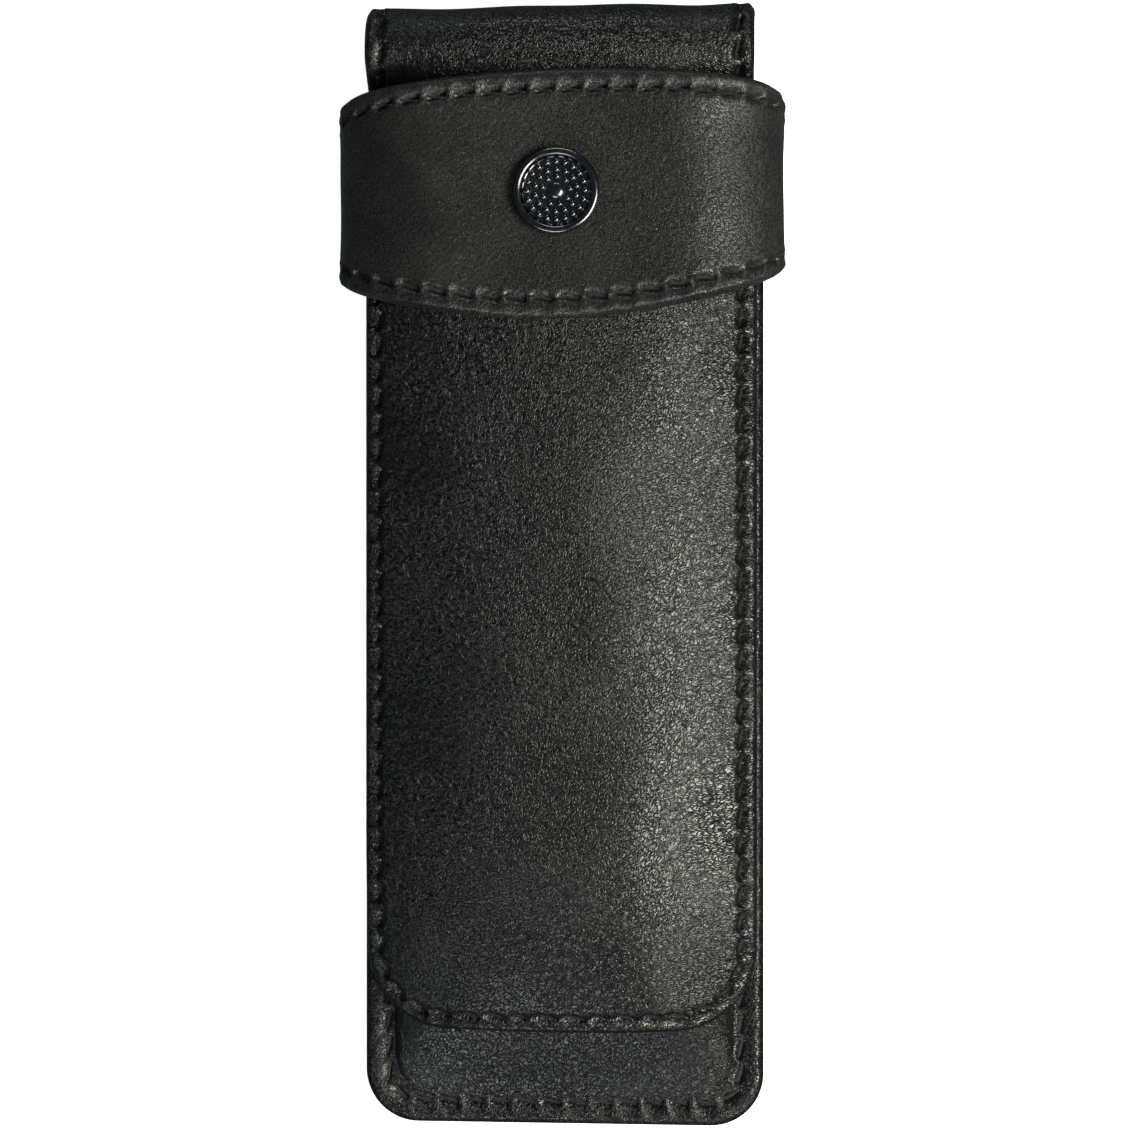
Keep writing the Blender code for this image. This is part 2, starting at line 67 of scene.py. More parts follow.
# Sizes that the frame gives
BODY_LOW, BODY_HIGH = box_mm("back_panel_leather")
FLAP_LOW, FLAP_HIGH = box_mm("flap_tail_leather")
BADGE_LOW, BADGE_HIGH = box_mm("badge_cap")
DIVIDER_LOW, DIVIDER_HIGH = box_mm("pen_divider")
NECK_HALF, TOP_Y, _ = box_mm("fold_wall_leather")[1]
BAND_HALF, _, BAND_TOP = box_mm("band_leather")[1]
_, MOUTH_Y, POCKET_TOP = box_mm("pocket_front_leather")[1]
_, PADDING_START, _ = box_mm("flap_tail_padding")[1]
BODY_HALF, BOTTOM_Y = BODY_HIGH[0], BODY_LOW[1]
FLAP_HALF, TIP_Y, FLAP_TOP = FLAP_HIGH[0], FLAP_LOW[1], FLAP_HIGH[2]
BADGE_RADIUS, BADGE_TOP = (BADGE_HIGH[0] - BADGE_LOW[0]) / 2, BADGE_HIGH[2]
BADGE_Y = (BADGE_LOW[1] + BADGE_HIGH[1]) / 2

# Sizes that repeat the CAD model's: the fold and the flap
FOLD_RADIUS = 6.8
TIP_CORNER = 12.0
NECK_NARROWS = (40.0, 64.0)  # the flap narrows between these Y
SIDE_DROP = 8.2  # how far the flap's long edges lie below its middle
DROP_POWER = 2.3
TIP_DROP = 6.0
TIP_DROP_LENGTH = 30.0
FOLD_DROP_SHARE = 0.3  # share of the side drop that is left at the fold
FOLD_DROP_START = 66.0
BEND_Y = TOP_Y - FOLD_RADIUS
WALL_TOP = FLAP_TOP - FOLD_RADIUS
SPLIT_Z = 8.4  # the flap's leather and the back's meet here, halfway up the fold
FRONT_WALL = WALL_TOP - SPLIT_Z
BACK_WALL = SPLIT_Z - FOLD_RADIUS
BEND_LENGTH = FOLD_RADIUS * math.pi / 2
FLAP_END = FRONT_WALL + BEND_LENGTH + BEND_Y - TIP_Y
BACK_END = BACK_WALL + BEND_LENGTH + BEND_Y - BOTTOM_Y

# The body and its pocket
BODY_CORNER = 7.8
SEAM_FLANGE = 4.4
SEAM_Z = 3.9
POCKET_RAMP = 38.0
FLANGE_SHARE = 0.3  # share of the pocket's column values that the flange takes

# The band
BAND_Y = 53.1
BAND_BOW = 1.7
BAND_HALF_HEIGHT = 17.5
BAND_TAPER = 0.0036
BAND_FOOT_HALF_HEIGHT = 10.0
BAND_TILT = math.radians(1.2)
BAND_WIDEST_Z = 8.5
BAND_POWER = 3.0
BAND_FOOT_X = 25.8
BAND_BEND_X = 27.0
FOOT_Z = 2.9
NOTCH_SPARE = 0.9
SHOULDER = 1.2  # the band stays nearly flat out to its shoulders, over the flap's padded sides
SHOULDER_X = 21.0
SHOULDER_WIDTH = 8.0
BADGE_DENT = 0.35
BADGE_DENT_WIDTH = 9.0

# Leather: a hem turned in round each edge, thinner inside it
HEM = 1.85
BAND_HEM = 1.6
CORE = 1.0
HEM_WIDTH = 3.7

# Layers under the leather: how deep below its face, and how thick
FLAP_LINING = (1.9, 0.7)
BACK_LINING = (2.05, 0.55)
POCKET_LINING = (1.3, 0.5)
BAND_LINING = (1.1, 0.5)
PADDING = (1.06, 0.78)
LINING_INSET = 1.4
PADDING_INSET = 5.2
LINING_BELOW_MOUTH = 0.6
MIDDLE_DEPTH = 1.3  # the middle of a leather with its lining

# Stitching
PITCH = 3.75
THREAD_RADIUS = 0.22
FLAP_SEAM = 2.5  # distances of the seams from their edges
BODY_SEAM = 3.4
BAND_SEAM = 2.9
MOUTH_SEAM = 2.5
STITCH_SLANT = 0.8
STITCH_STEPS = 7
UNDER_THREAD = (0.28, 0.44)  # in pitches off a stitch's middle: held down up to the first, free past the last

# Leather beside the stitching
VALLEY = 0.12  # the seam below the face beside it, under a stitch
BRIDGE = 0.26  # and above it between two stitches, where the leather bulges across the seam
VALLEY_WIDTH = 0.8
SLOT = 0.65
SLOT_WIDTH = 0.5
PUFF = 0.5
PUFF_RISE = (0.9, 0.3)  # between two stitches, beside a stitch
PUFF_FADE = 2.8
PUFF_SWELL = 0.14
PUFF_SWELL_FADE = 1.2
BEAD = 0.28  # the ridge between the seam and the edge
BEAD_PLACE = 0.42  # its place and width, in shares of the seam's distance
BEAD_WIDTH = 0.32
BEAD_SWELL = 0.4
MOUTH_VALLEY = 0.3
MOUTH_VALLEY_WIDTH = 0.6


def smooth_step(start, end, value):
    t = np.clip((value - start) / (end - start), 0.0, 1.0)
    return t * t * (3 - 2 * t)


WAVES = ((0.21, 0.09, 0.3), (-0.12, 0.17, 1.9), (0.07, -0.26, 4.1), (0.31, 0.22, 2.6), (-0.38, 0.05, 5.2))


def undulation(x, s):
    """Slow unevenness of soft leather: a few waves that cross each other."""
    height = 0
    for kx, ks, phase in WAVES:
        height = height + np.sin(kx * x + ks * s + phase) / (1 + 4 * math.hypot(kx, ks))
    return height


# Surfaces

def side_drop(x, y):
    share = 1 - (1 - FOLD_DROP_SHARE) * smooth_step(FOLD_DROP_START, BEND_Y, y)
    return share * SIDE_DROP * (np.abs(x) / FLAP_HALF) ** DROP_POWER


def flap_z(x, y):
    past_tip_start = np.maximum(TIP_Y + TIP_DROP_LENGTH - y, 0.0)
    return FLAP_TOP - side_drop(x, y) - TIP_DROP * (past_tip_start / TIP_DROP_LENGTH) ** 2


def flap_surface(x, s):
    """From the split up the fold's wall, round the front bend, and down the front to the tip."""
    drop = side_drop(x, BEND_Y)
    angle = np.clip((s - FRONT_WALL) / FOLD_RADIUS, 0.0, math.pi / 2)
    flat_y = BEND_Y - np.maximum(s - FRONT_WALL - BEND_LENGTH, 0.0)
    on_wall = s < FRONT_WALL
    on_front = s > FRONT_WALL + BEND_LENGTH
    bend_z = WALL_TOP + FOLD_RADIUS * np.sin(angle) - drop
    wall_z = SPLIT_Z + s / FRONT_WALL * (FRONT_WALL - drop)
    y = np.where(on_front, flat_y, BEND_Y + FOLD_RADIUS * np.cos(angle))
    z = np.where(on_wall, wall_z, np.where(on_front, flap_z(x, flat_y), bend_z))
    return np.stack(np.broadcast_arrays(x, y, z), axis=-1)


def back_surface(x, s):
    """From the split down the fold's wall, round the back bend, and along the underside to the bottom."""
    angle = np.clip((s - BACK_WALL) / FOLD_RADIUS, 0.0, math.pi / 2)
    flat_y = BEND_Y - np.maximum(s - BACK_WALL - BEND_LENGTH, 0.0)
    y = np.where(s > BACK_WALL + BEND_LENGTH, flat_y, BEND_Y + FOLD_RADIUS * np.cos(angle))
    z = np.where(s < BACK_WALL, SPLIT_Z - s, FOLD_RADIUS - FOLD_RADIUS * np.sin(angle))
    return np.stack(np.broadcast_arrays(x, y, z), axis=-1)


def s_of_front(y):
    return FRONT_WALL + BEND_LENGTH + BEND_Y - y


def s_of_back(y):
    return BACK_WALL + BEND_LENGTH + BEND_Y - y


def flap_half(s):
    y = BEND_Y - (s - FRONT_WALL - BEND_LENGTH)
    return FLAP_HALF - smooth_step(*NECK_NARROWS, y) * (FLAP_HALF - NECK_HALF)


def back_half(s):
    y = BEND_Y - (s - BACK_WALL - BEND_LENGTH)
    return BODY_HALF - smooth_step(MOUTH_Y - 1, MOUTH_Y + 1, y) * (BODY_HALF - NECK_HALF)


def body_half(y):
    into = np.clip(y - BOTTOM_Y, 0.0, BODY_CORNER)
    narrowing = BODY_CORNER - np.sqrt(BODY_CORNER**2 - (BODY_CORNER - into) ** 2)
    return BODY_HALF - narrowing


def pocket_foot(y):
    """Half width of the moulded front where it stands on its flange."""
    radius = BODY_CORNER - 2
    into = np.clip(y - BOTTOM_Y - SEAM_FLANGE, 0.0, radius)
    return BODY_HALF - SEAM_FLANGE - radius + np.sqrt(radius**2 - (radius - into) ** 2)


def pocket_height(y):
    t = np.clip((y - BOTTOM_Y - SEAM_FLANGE) / POCKET_RAMP, 0.0, 1.0)
    return (POCKET_TOP - SEAM_Z) * np.sin(math.pi / 2 * t)


def notch_ends(side):
    """Where the flange's notch for one of the band's feet starts and ends along Y."""
    middle = BAND_Y + side * BODY_HALF * math.tan(BAND_TILT) + BAND_BOW * (BODY_HALF / BAND_HALF) ** 2
    half = BAND_FOOT_HALF_HEIGHT + NOTCH_SPARE
    return middle - half, middle + half


def pocket_outer(side, y):
    """Half width of the flange, which is notched for the band's feet."""
    low, high = notch_ends(side)
    notched = (y > low) & (y < high)
    return np.where(notched, pocket_foot(y) + 0.4, body_half(y))


def pocket_surface(c, y):
    """c runs from -1 at the left edge of the flange, over the moulded front, to 1 at its right edge."""
    size = np.abs(c)
    in_dome = np.clip(size / (1 - FLANGE_SHARE), 0.0, 1.0)
    angle = math.pi / 2 * (1 - in_dome)
    foot = pocket_foot(y)
    on_flange = np.clip((size - 1 + FLANGE_SHARE) / FLANGE_SHARE, 0.0, 1.0)
    outer = np.where(c > 0, pocket_outer(1, y), pocket_outer(-1, y))
    dome_x = foot * np.abs(np.cos(angle)) ** (2 / 3)
    x = np.sign(c) * (dome_x + on_flange * (outer - foot))
    z = SEAM_Z + pocket_height(y) * np.sin(angle) * smooth_step(0.0, 0.35, angle)
    return np.stack(np.broadcast_arrays(x, y, z), axis=-1)


def band_path():
    """Distance along the band's outside from the middle of its crown to the foot, and X and Z there."""
    angles = np.linspace(math.pi / 2, 0.0, 900)
    x = BAND_HALF * np.abs(np.cos(angles)) ** (2 / BAND_POWER)
    z = BAND_WIDEST_Z + (BAND_TOP - BAND_WIDEST_Z) * np.abs(np.sin(angles)) ** (2 / BAND_POWER)
    turn = np.linspace(0.0, math.pi / 2, 300)[1:]
    x = np.append(x, BAND_BEND_X + (BAND_HALF - BAND_BEND_X) * np.cos(turn))
    z = np.append(z, BAND_WIDEST_Z - (BAND_WIDEST_Z - FOOT_Z) * np.sin(turn))
    x = np.append(x, BAND_FOOT_X)
    z = np.append(z, FOOT_Z)
    u = np.concatenate([[0.0], np.cumsum(np.hypot(np.diff(x), np.diff(z)))])
    return u, x, z


BAND_U, BAND_X, BAND_Z = band_path()
BAND_END = BAND_U[-1]


def band_half(u):
    return np.maximum(BAND_HALF_HEIGHT - BAND_TAPER * u**2, BAND_FOOT_HALF_HEIGHT)


def band_surface(v, u):
    """u runs round the band from its left foot to its right one, v across it."""
    x = np.sign(u) * np.interp(np.abs(u), BAND_U, BAND_X)
    z = np.interp(np.abs(u), BAND_U, BAND_Z)
    y = v + BAND_Y + x * math.tan(BAND_TILT) + BAND_BOW * (x / BAND_HALF) ** 2
    return np.stack(np.broadcast_arrays(x, y, z), axis=-1)


# Panels

class Panel:
    """A leather on a surface, with a seam all round at one distance from its edge.

    half gives its half width at s, end is the s of its rounded end, and radius that of the end's corners.
    outward turns the surface's normal out. puff, pull and waviness say how much the leather swells beside
    the seam, how hard the thread pulls it down, and how uneven it is.
    """

    def __init__(self, surface, half, end, radius, seam, outward, puff=PUFF, pull=1.0, waviness=0.12):
        self.surface = surface
        self.half = half
        self.end = end
        self.radius = radius
        self.seam = seam
        self.outward = outward
        self.puff = puff
        self.pull = pull
        self.waviness = waviness

    def flat(self, x, s):
        """Flat coordinates of a place that is given in the surface's own coordinates."""
        return x, s

    def on_surface(self, x, s):
        """The surface's own coordinates of a place that is given in flat coordinates."""
        return x, s

    def edge_distance(self, x, s):
        x, s = self.flat(x, s)
        side = self.half(s) - np.abs(x)
        tip = self.end - s
        in_corner = (side < self.radius) & (tip < self.radius)
        rounded = self.radius - np.hypot(self.radius - side, self.radius - tip)
        return np.where(in_corner, rounded, np.minimum(side, tip))

    def along(self, x, s):
        """Distance along the seam from the middle of the rounded end."""
        x, s = self.flat(x, s)
        straight = self.half(self.end) - self.radius
        corner_s = self.end - self.radius
        turn = np.arctan2(np.abs(x) - straight, np.maximum(s - corner_s, 1e-6))
        round_part = straight + (self.radius - self.seam) * turn
        side_part = straight + (self.radius - self.seam) * math.pi / 2 + corner_s - s
        end_part = np.abs(x)
        at_end = np.where(np.abs(x) < straight, end_part, round_part)
        return np.sign(x) * np.where(s > corner_s, at_end, side_part)

    def seam_length(self, start):
        straight = self.half(self.end) - self.radius
        return straight + (self.radius - self.seam) * math.pi / 2 + self.end - self.radius - start

    def seam_place(self, t):
        """Flat coordinates of the seam's point at that distance along it."""
        side, t = np.sign(t), np.abs(t)
        straight = self.half(self.end) - self.radius
        radius = self.radius - self.seam
        corner_s = self.end - self.radius
        turn = np.clip((t - straight) / radius, 0.0, math.pi / 2)
        beyond = np.maximum(t - straight - radius * math.pi / 2, 0.0)
        s = corner_s + radius * np.cos(turn) - beyond
        x = np.minimum(t, straight) + radius * np.sin(turn)
        x = np.where(beyond > 0, self.half(s) - self.seam, x)
        return side * x, s

    def relief(self, x, s):
        """How far the leather's face stands out from the surface."""
        distance = self.edge_distance(x, s)
        phase = self.along(x, s) / PITCH
        share = phase - np.floor(phase)
        between = np.cos(2 * math.pi * phase)
        off_seam = distance - self.seam
        off_thread = off_seam - STITCH_SLANT * (0.5 - share)
        under_thread = 1 - smooth_step(*UNDER_THREAD, np.abs(share - 0.5))
        inside = np.maximum(off_seam + under_thread * (off_thread - off_seam), 0.0)
        bridged = self.pull * (BRIDGE - (BRIDGE + VALLEY) * under_thread)
        valley = bridged * np.exp(-((off_seam / VALLEY_WIDTH) ** 2))
        slots = -self.pull * SLOT * under_thread * np.exp(-((off_thread / SLOT_WIDTH) ** 2))
        rise = PUFF_RISE[0] + (PUFF_RISE[1] - PUFF_RISE[0]) * under_thread
        puff = self.puff * (1 - np.exp(-inside / rise)) * np.exp(-inside / PUFF_FADE)
        puff = puff * (1 + PUFF_SWELL * between * np.exp(-inside / PUFF_SWELL_FADE))
        off_bead = (distance - BEAD_PLACE * self.seam) / (BEAD_WIDTH * self.seam)
        bead = BEAD * np.exp(-(off_bead**2)) * (1 + BEAD_SWELL * between)
        slow = self.waviness * undulation(x, s) * smooth_step(1.0, 9.0, distance)
        return valley + slots + puff + bead + slow

    def normal(self, x, s):
        step = 0.02
        ahead = self.surface(x, s + step) - self.surface(x, s - step)
        across = self.surface(x + step, s) - self.surface(x - step, s)
        out = np.cross(ahead, across) * self.outward
        return out / np.maximum(np.linalg.norm(out, axis=-1, keepdims=True), 1e-12)

    def point(self, x, s, lift=0.0):
        height = self.relief(x, s) + lift
        return self.surface(x, s) + self.normal(x, s) * height[..., None]


# Meshes

def rounded_edge(distance, radius):
    """How far a half-round edge lies below the face, at a distance from the edge."""
    into = np.clip(1 - distance / radius, 0.0, 1.0)
    return radius * (1 - np.sqrt(np.maximum(1 - into**2, 0.0)))


def column_shares(half, edge_zone=6.5, fine=0.32, coarse=1.2, edge_radius=HEM / 2):
    """Column places from -1 to 1: close together near the edges, closest on their rounding."""
    roll = edge_radius * (1 - np.cos(np.linspace(0.0, math.pi / 2, 7)))
    near = np.linspace(edge_radius, edge_zone, int((edge_zone - edge_radius) / fine) + 1)[1:]
    middle = np.linspace(edge_zone, half, int((half - edge_zone) / coarse) + 1)[1:]
    right = 1 - np.concatenate([roll, near, middle]) / half
    return np.concatenate([-right[:-1], [0.0], right[:-1][::-1]])


def row_places(start, end, radius, step, corner_steps=40):
    """Row places from start to the rounded end: even, then at equal angles round the corner."""
    straight = np.linspace(start, end - radius, int((end - radius - start) / step) + 1)
    turn = np.linspace(0.0, math.pi / 2, corner_steps + 1)[1:]
    return np.concatenate([straight, end - radius + radius * np.sin(turn)])


def grid_faces(rows, columns, offset, flipped):
    index = np.arange(rows * columns).reshape(rows, columns) + offset
    corners = [index[:-1, :-1], index[:-1, 1:], index[1:, 1:], index[1:, :-1]]
    quads = np.stack(corners, axis=-1).reshape(-1, 4)
    return quads[:, ::-1] if flipped else quads


def border(rows, columns):
    """The numbers of a grid's outer points, once round."""
    index = np.arange(rows * columns).reshape(rows, columns)
    return np.concatenate([index[0, :-1], index[:-1, -1], index[-1, :0:-1], index[:0:-1, 0]])


UNDERSIDE = (0.0, 0.0, 3.0)  # moves the flat coordinates of an underside, so that its grain is its own


def closed_mesh(name, top, bottom, flat, material, sharp=50.0):
    """A closed skin between two grids of points that share one border order."""
    rows, columns = top.shape[:2]
    count = rows * columns
    points = np.concatenate([top.reshape(-1, 3), bottom.reshape(-1, 3)]) * MM
    ring = border(rows, columns)
    following = np.roll(ring, -1)
    walls = np.stack([ring, ring + count, following + count, following], axis=-1)
    upper, lower = grid_faces(rows, columns, 0, False), grid_faces(rows, columns, count, True)
    faces = np.concatenate([upper, lower, walls])
    mesh = bpy.data.meshes.new(name)
    mesh.from_pydata(points.tolist(), [], faces.tolist())
    attribute = mesh.attributes.new("flat", "FLOAT_VECTOR", "POINT")
    places = np.concatenate([flat.reshape(-1, 3), flat.reshape(-1, 3) + UNDERSIDE])
    attribute.data.foreach_set("vector", places.astype(np.float32).ravel())
    return finish_mesh(name, mesh, material, sharp)


def finish_mesh(name, mesh, material, sharp):
    """A shaded object of a mesh, with coinciding points merged and its faces turned outward."""
    bm = bmesh.new()
    bm.from_mesh(mesh)
    bmesh.ops.remove_doubles(bm, verts=bm.verts, dist=0.002 * MM)
    bmesh.ops.recalc_face_normals(bm, faces=bm.faces)
    bm.to_mesh(mesh)
    bm.free()
    mesh.shade_smooth()
    mesh.set_sharp_from_angle(angle=math.radians(sharp))
    mesh.materials.append(material)
    return linked(name, mesh)


def mesh_of(bm, name):
    mesh = bpy.data.meshes.new(name)
    bm.to_mesh(mesh)
    bm.free()
    return mesh


def linked(name, data):
    """An object with that mesh, light or camera, in the scene."""
    made = bpy.data.objects.new(name, data)
    bpy.context.scene.collection.objects.link(made)
    return made


def flat_places(panel, x, s):
    flat_x, flat_s = panel.flat(x, s)
    return np.stack(np.broadcast_arrays(flat_x, flat_s, 0.0 * flat_x), axis=-1)


def skin(name, panel, x, s, material, hem=HEM):
    """The leather of a panel, with its hem, on a grid of flat coordinates."""
    distance = panel.edge_distance(x, s)
    out = panel.normal(x, s)
    base = panel.surface(x, s)
    fall = rounded_edge(distance, hem / 2)
    depth = CORE + (hem - CORE) * (1 - smooth_step(HEM_WIDTH, HEM_WIDTH + 1.2, distance))
    level = panel.relief(x, s) * smooth_step(0.0, hem / 2, distance)
    top = base + out * (level - fall)[..., None]
    bottom = base - out * (depth - fall)[..., None]
    return closed_mesh(name, top, bottom, flat_places(panel, x, s), material)


def layer(name, panel, x, s, size, distance, material):
    """A thin layer under a panel, with rounded edges of its own."""
    depth, thickness = size
    out = panel.normal(x, s)
    base = panel.surface(x, s)
    fall = rounded_edge(distance, thickness / 2)
    top = base - out * (depth + fall)[..., None]
    bottom = base - out * (depth + thickness - fall)[..., None]
    return closed_mesh(name, top, bottom, flat_places(panel, x, s), material)


def tubes(name, runs, material, sides=8):
    """Short rounded threads, each along its own few points, in one mesh."""
    points, faces, flat = [], [], []
    for number, run in enumerate(runs):
        run = np.array(run)
        ahead = np.gradient(run, axis=0)
        ahead /= np.linalg.norm(ahead, axis=1, keepdims=True)
        side = np.cross(ahead, [0.137, 0.291, 0.947])
        side /= np.linalg.norm(side, axis=1, keepdims=True)
        other = np.cross(ahead, side)
        off_middle = np.abs(np.linspace(-1.0, 1.0, len(run)))
        radii = THREAD_RADIUS * (1 - off_middle**5 * 0.45)
        start = len(points)
        turn = np.linspace(0.0, 2 * math.pi, sides, endpoint=False)
        for k, (centre, a, b, radius) in enumerate(zip(run, side, other, radii)):
            ring = centre + radius * (np.cos(turn)[:, None] * a + np.sin(turn)[:, None] * b)
            points.extend(ring.tolist())
            flat.extend([(number * 7.0 + k * PITCH / len(run), float(t), 0.0) for t in turn])
        for k in range(len(run) - 1):
            for i in range(sides):
                j = (i + 1) % sides
                low, high = start + k * sides, start + (k + 1) * sides
                faces.append((low + i, low + j, high + j, high + i))
        faces.append(tuple(start + i for i in range(sides)))
        last = start + (len(run) - 1) * sides
        faces.append(tuple(last + i for i in reversed(range(sides))))
    mesh = bpy.data.meshes.new(name)
    mesh.from_pydata((np.array(points) * MM).tolist(), [], faces)
    attribute = mesh.attributes.new("flat", "FLOAT_VECTOR", "POINT")
    attribute.data.foreach_set("vector", np.array(flat, np.float32).ravel())
    return finish_mesh(name, mesh, material, 60.0)


def stitch_runs(panel, first, last, place):
    """Threads from hole to hole along a seam; each dips into its holes and lies a little aslant."""
    share = np.linspace(0.16, 0.84, STITCH_STEPS)
    arch = 0.10 - 0.9 * (2 * np.abs(share - 0.5)) ** 6
    slant = STITCH_SLANT * (0.5 - share)
    runs = []
    for number in range(math.ceil(first / PITCH), math.floor(last / PITCH)):
        x, s = place((number + share) * PITCH)
        x_ahead, s_ahead = place((number + share) * PITCH + 0.05)
        length = np.hypot(x_ahead - x, s_ahead - s)
        x_off = x + slant * (s_ahead - s) / length
        s_off = s - slant * (x_ahead - x) / length
        runs.append(panel.point(*panel.on_surface(x_off, s_off), arch))
    return runs


def plain_stitch():
    """Shares of a straight stitch's length, and how high it stands there as a share of its height."""
    share = np.linspace(0.06, 0.94, STITCH_STEPS)
    return share, np.sin(math.pi * share) ** 0.6


# Materials

def tree_of(name, base, roughness, metallic=0.0, specular=0.5):
    made = bpy.data.materials.new(name)
    made.use_nodes = True
    tree = made.node_tree
    shader = tree.nodes["Principled BSDF"]
    shader.inputs["Base Color"].default_value = (*base, 1.0)
    shader.inputs["Roughness"].default_value = roughness
    shader.inputs["Metallic"].default_value = metallic
    shader.inputs["Specular IOR Level"].default_value = specular
    return made, tree, shader


def add(tree, kind, settings=None, values=None, links=None):
    node = tree.nodes.new("ShaderNode" + kind)
    for key, value in (settings or {}).items():
        setattr(node, key, value)
    for key, value in (values or {}).items():
        node.inputs[key].default_value = value
    for key, source in (links or {}).items():
        tree.links.new(source, node.inputs[key])
    return node


def flat_coordinates(tree):
    return add(tree, "Attribute", {"attribute_name": "flat"}).outputs["Vector"]


def maths(tree, operation, a, b, clamp=False):
    node = add(tree, "Math", {"operation": operation, "use_clamp": clamp})
    for socket, value in zip(node.inputs, (a, b)):
        if isinstance(value, (int, float)):
            socket.default_value = value
        else:
            tree.links.new(value, socket)
    return node.outputs["Value"]


def span(tree, value, low, high, to_low, to_high, smooth=False):
    settings = {"interpolation_type": "SMOOTHSTEP"} if smooth else {}
    values = {"From Min": low, "From Max": high, "To Min": to_low, "To Max": to_high}
    return add(tree, "MapRange", settings, values, {"Value": value}).outputs["Result"]


def noise(tree, coordinates, scale, detail=2.0, roughness=0.5):
    values = {"Scale": scale, "Detail": detail, "Roughness": roughness}
    return add(tree, "TexNoise", {"noise_dimensions": "3D"}, values, {"Vector": coordinates})


def creases(tree, coordinates, angle, length, width):
    """Grain of small cells drawn out along one direction, 0 in the creases between them and 1 inside."""
    values = {"Rotation": (0.0, 0.0, -angle), "Scale": (1.0, 1.0, 1.0)}
    turned = add(tree, "Mapping", {"vector_type": "POINT"}, values, {"Vector": coordinates})
    stretch = {"Scale": (1 / length, 1 / width, 1.0)}
    links = {"Vector": turned.outputs["Vector"]}
    stretched = add(tree, "Mapping", {"vector_type": "POINT"}, stretch, links)
    settings = {"feature": "DISTANCE_TO_EDGE", "voronoi_dimensions": "2D"}
    cells = add(tree, "TexVoronoi", settings, {"Scale": 1.0}, {"Vector": stretched.outputs["Vector"]})
    return span(tree, cells.outputs["Distance"], 0.0, 0.32, 0.0, 1.0, True)


def mix(tree, factor, a, b):
    """A number between a and b. The Mix node's number sockets are its first, third and fourth."""
    node = add(tree, "Mix", {"data_type": "FLOAT"})
    for index, source in ((0, factor), (2, a), (3, b)):
        tree.links.new(source, node.inputs[index])
    return node.outputs[0]


def blend_colours(tree, factor, a, b):
    """A colour between a and b. The Mix node's colour sockets are its seventh and eighth."""
    node = add(tree, "Mix", {"data_type": "RGBA"})
    tree.links.new(factor, node.inputs[0])
    node.inputs[6].default_value = (*a, 1.0)
    node.inputs[7].default_value = (*b, 1.0)
    return node.outputs[2]


def warped_coordinates(tree, flat):
    """Flat coordinates pushed about by up to a millimetre, so that the grain is irregular."""
    warp = noise(tree, flat, 0.9, 2.0).outputs["Color"]
    offset = add(tree, "VectorMath", {"operation": "SCALE"}, {"Scale": 1.5}, {"Vector": warp})
    links = {0: flat, 1: offset.outputs["Vector"]}
    return add(tree, "VectorMath", {"operation": "ADD"}, None, links).outputs["Vector"]


def drawn_grain(tree, flat, warped):
    """Creases that slant on the left, turn level towards the right, and change a little in patches."""
    slanted = creases(tree, warped, math.radians(-50), 0.85, 0.26)
    level = creases(tree, warped, math.radians(-8), 0.95, 0.26)
    patches = noise(tree, flat, 0.035, 1.0)
    across = add(tree, "SeparateXYZ", None, None, {"Vector": flat}).outputs["X"]
    right = span(tree, across, 6.0, 26.0, 0.0, 1.0, True)
    patch = span(tree, patches.outputs["Fac"], 0.42, 0.58, -0.35, 0.35)
    direction = maths(tree, "ADD", right, patch, True)
    return mix(tree, direction, slanted, level)


def leather_material(name, grain_depth, smoothest, roughest, dark, light):
    """Smooth black leather with a fine drawn-out grain, duller in its creases, with painted shade darkening
    the creases.
    """
    made, tree, shader = tree_of(name, (0.005, 0.005, 0.0046), roughest)
    flat = flat_coordinates(tree)
    warped = warped_coordinates(tree, flat)
    grain = drawn_grain(tree, flat, warped)
    fine = noise(tree, warped, 2.4, 1.0, 0.5).outputs["Fac"]
    rolling = noise(tree, flat, 0.4, 2.0).outputs["Fac"]
    height = maths(tree, "ADD", maths(tree, "MULTIPLY", grain, 0.42), maths(tree, "MULTIPLY", fine, 0.20))
    height = maths(tree, "ADD", height, maths(tree, "MULTIPLY", rolling, 0.5))
    bump_surface(tree, shader, height, 1.0, grain_depth)
    worn = noise(tree, flat, 0.12, 3.0).outputs["Fac"]
    # Painted shade: the base colour darkens in the grain's creases, mixed with a random tone from the worn
    # noise.
    painted_crease_shade = maths(tree, "ADD", maths(tree, "MULTIPLY", grain, 0.7), 0.3)
    tint = span(tree, maths(tree, "MULTIPLY", painted_crease_shade, worn), 0.15, 0.6, 0.0, 1.0)
    tree.links.new(blend_colours(tree, tint, dark, light), shader.inputs["Base Color"])
    dullness = span(tree, worn, 0.3, 0.7, smoothest, roughest)
    gloss = maths(tree, "ADD", maths(tree, "MULTIPLY", grain, -0.10), dullness)
    tree.links.new(gloss, shader.inputs["Roughness"])
    shine = span(tree, grain, 0.1, 0.9, 0.12, 0.62)
    tree.links.new(shine, shader.inputs["Specular IOR Level"])
    return made


def bump_surface(tree, shader, height, strength, depth):
    """Unevenness of the shader's surface; depth is in millimetres."""
    bump = add(tree, "Bump", None, {"Strength": strength, "Distance": depth * MM}, {"Height": height})
    tree.links.new(bump.outputs["Normal"], shader.inputs["Normal"])


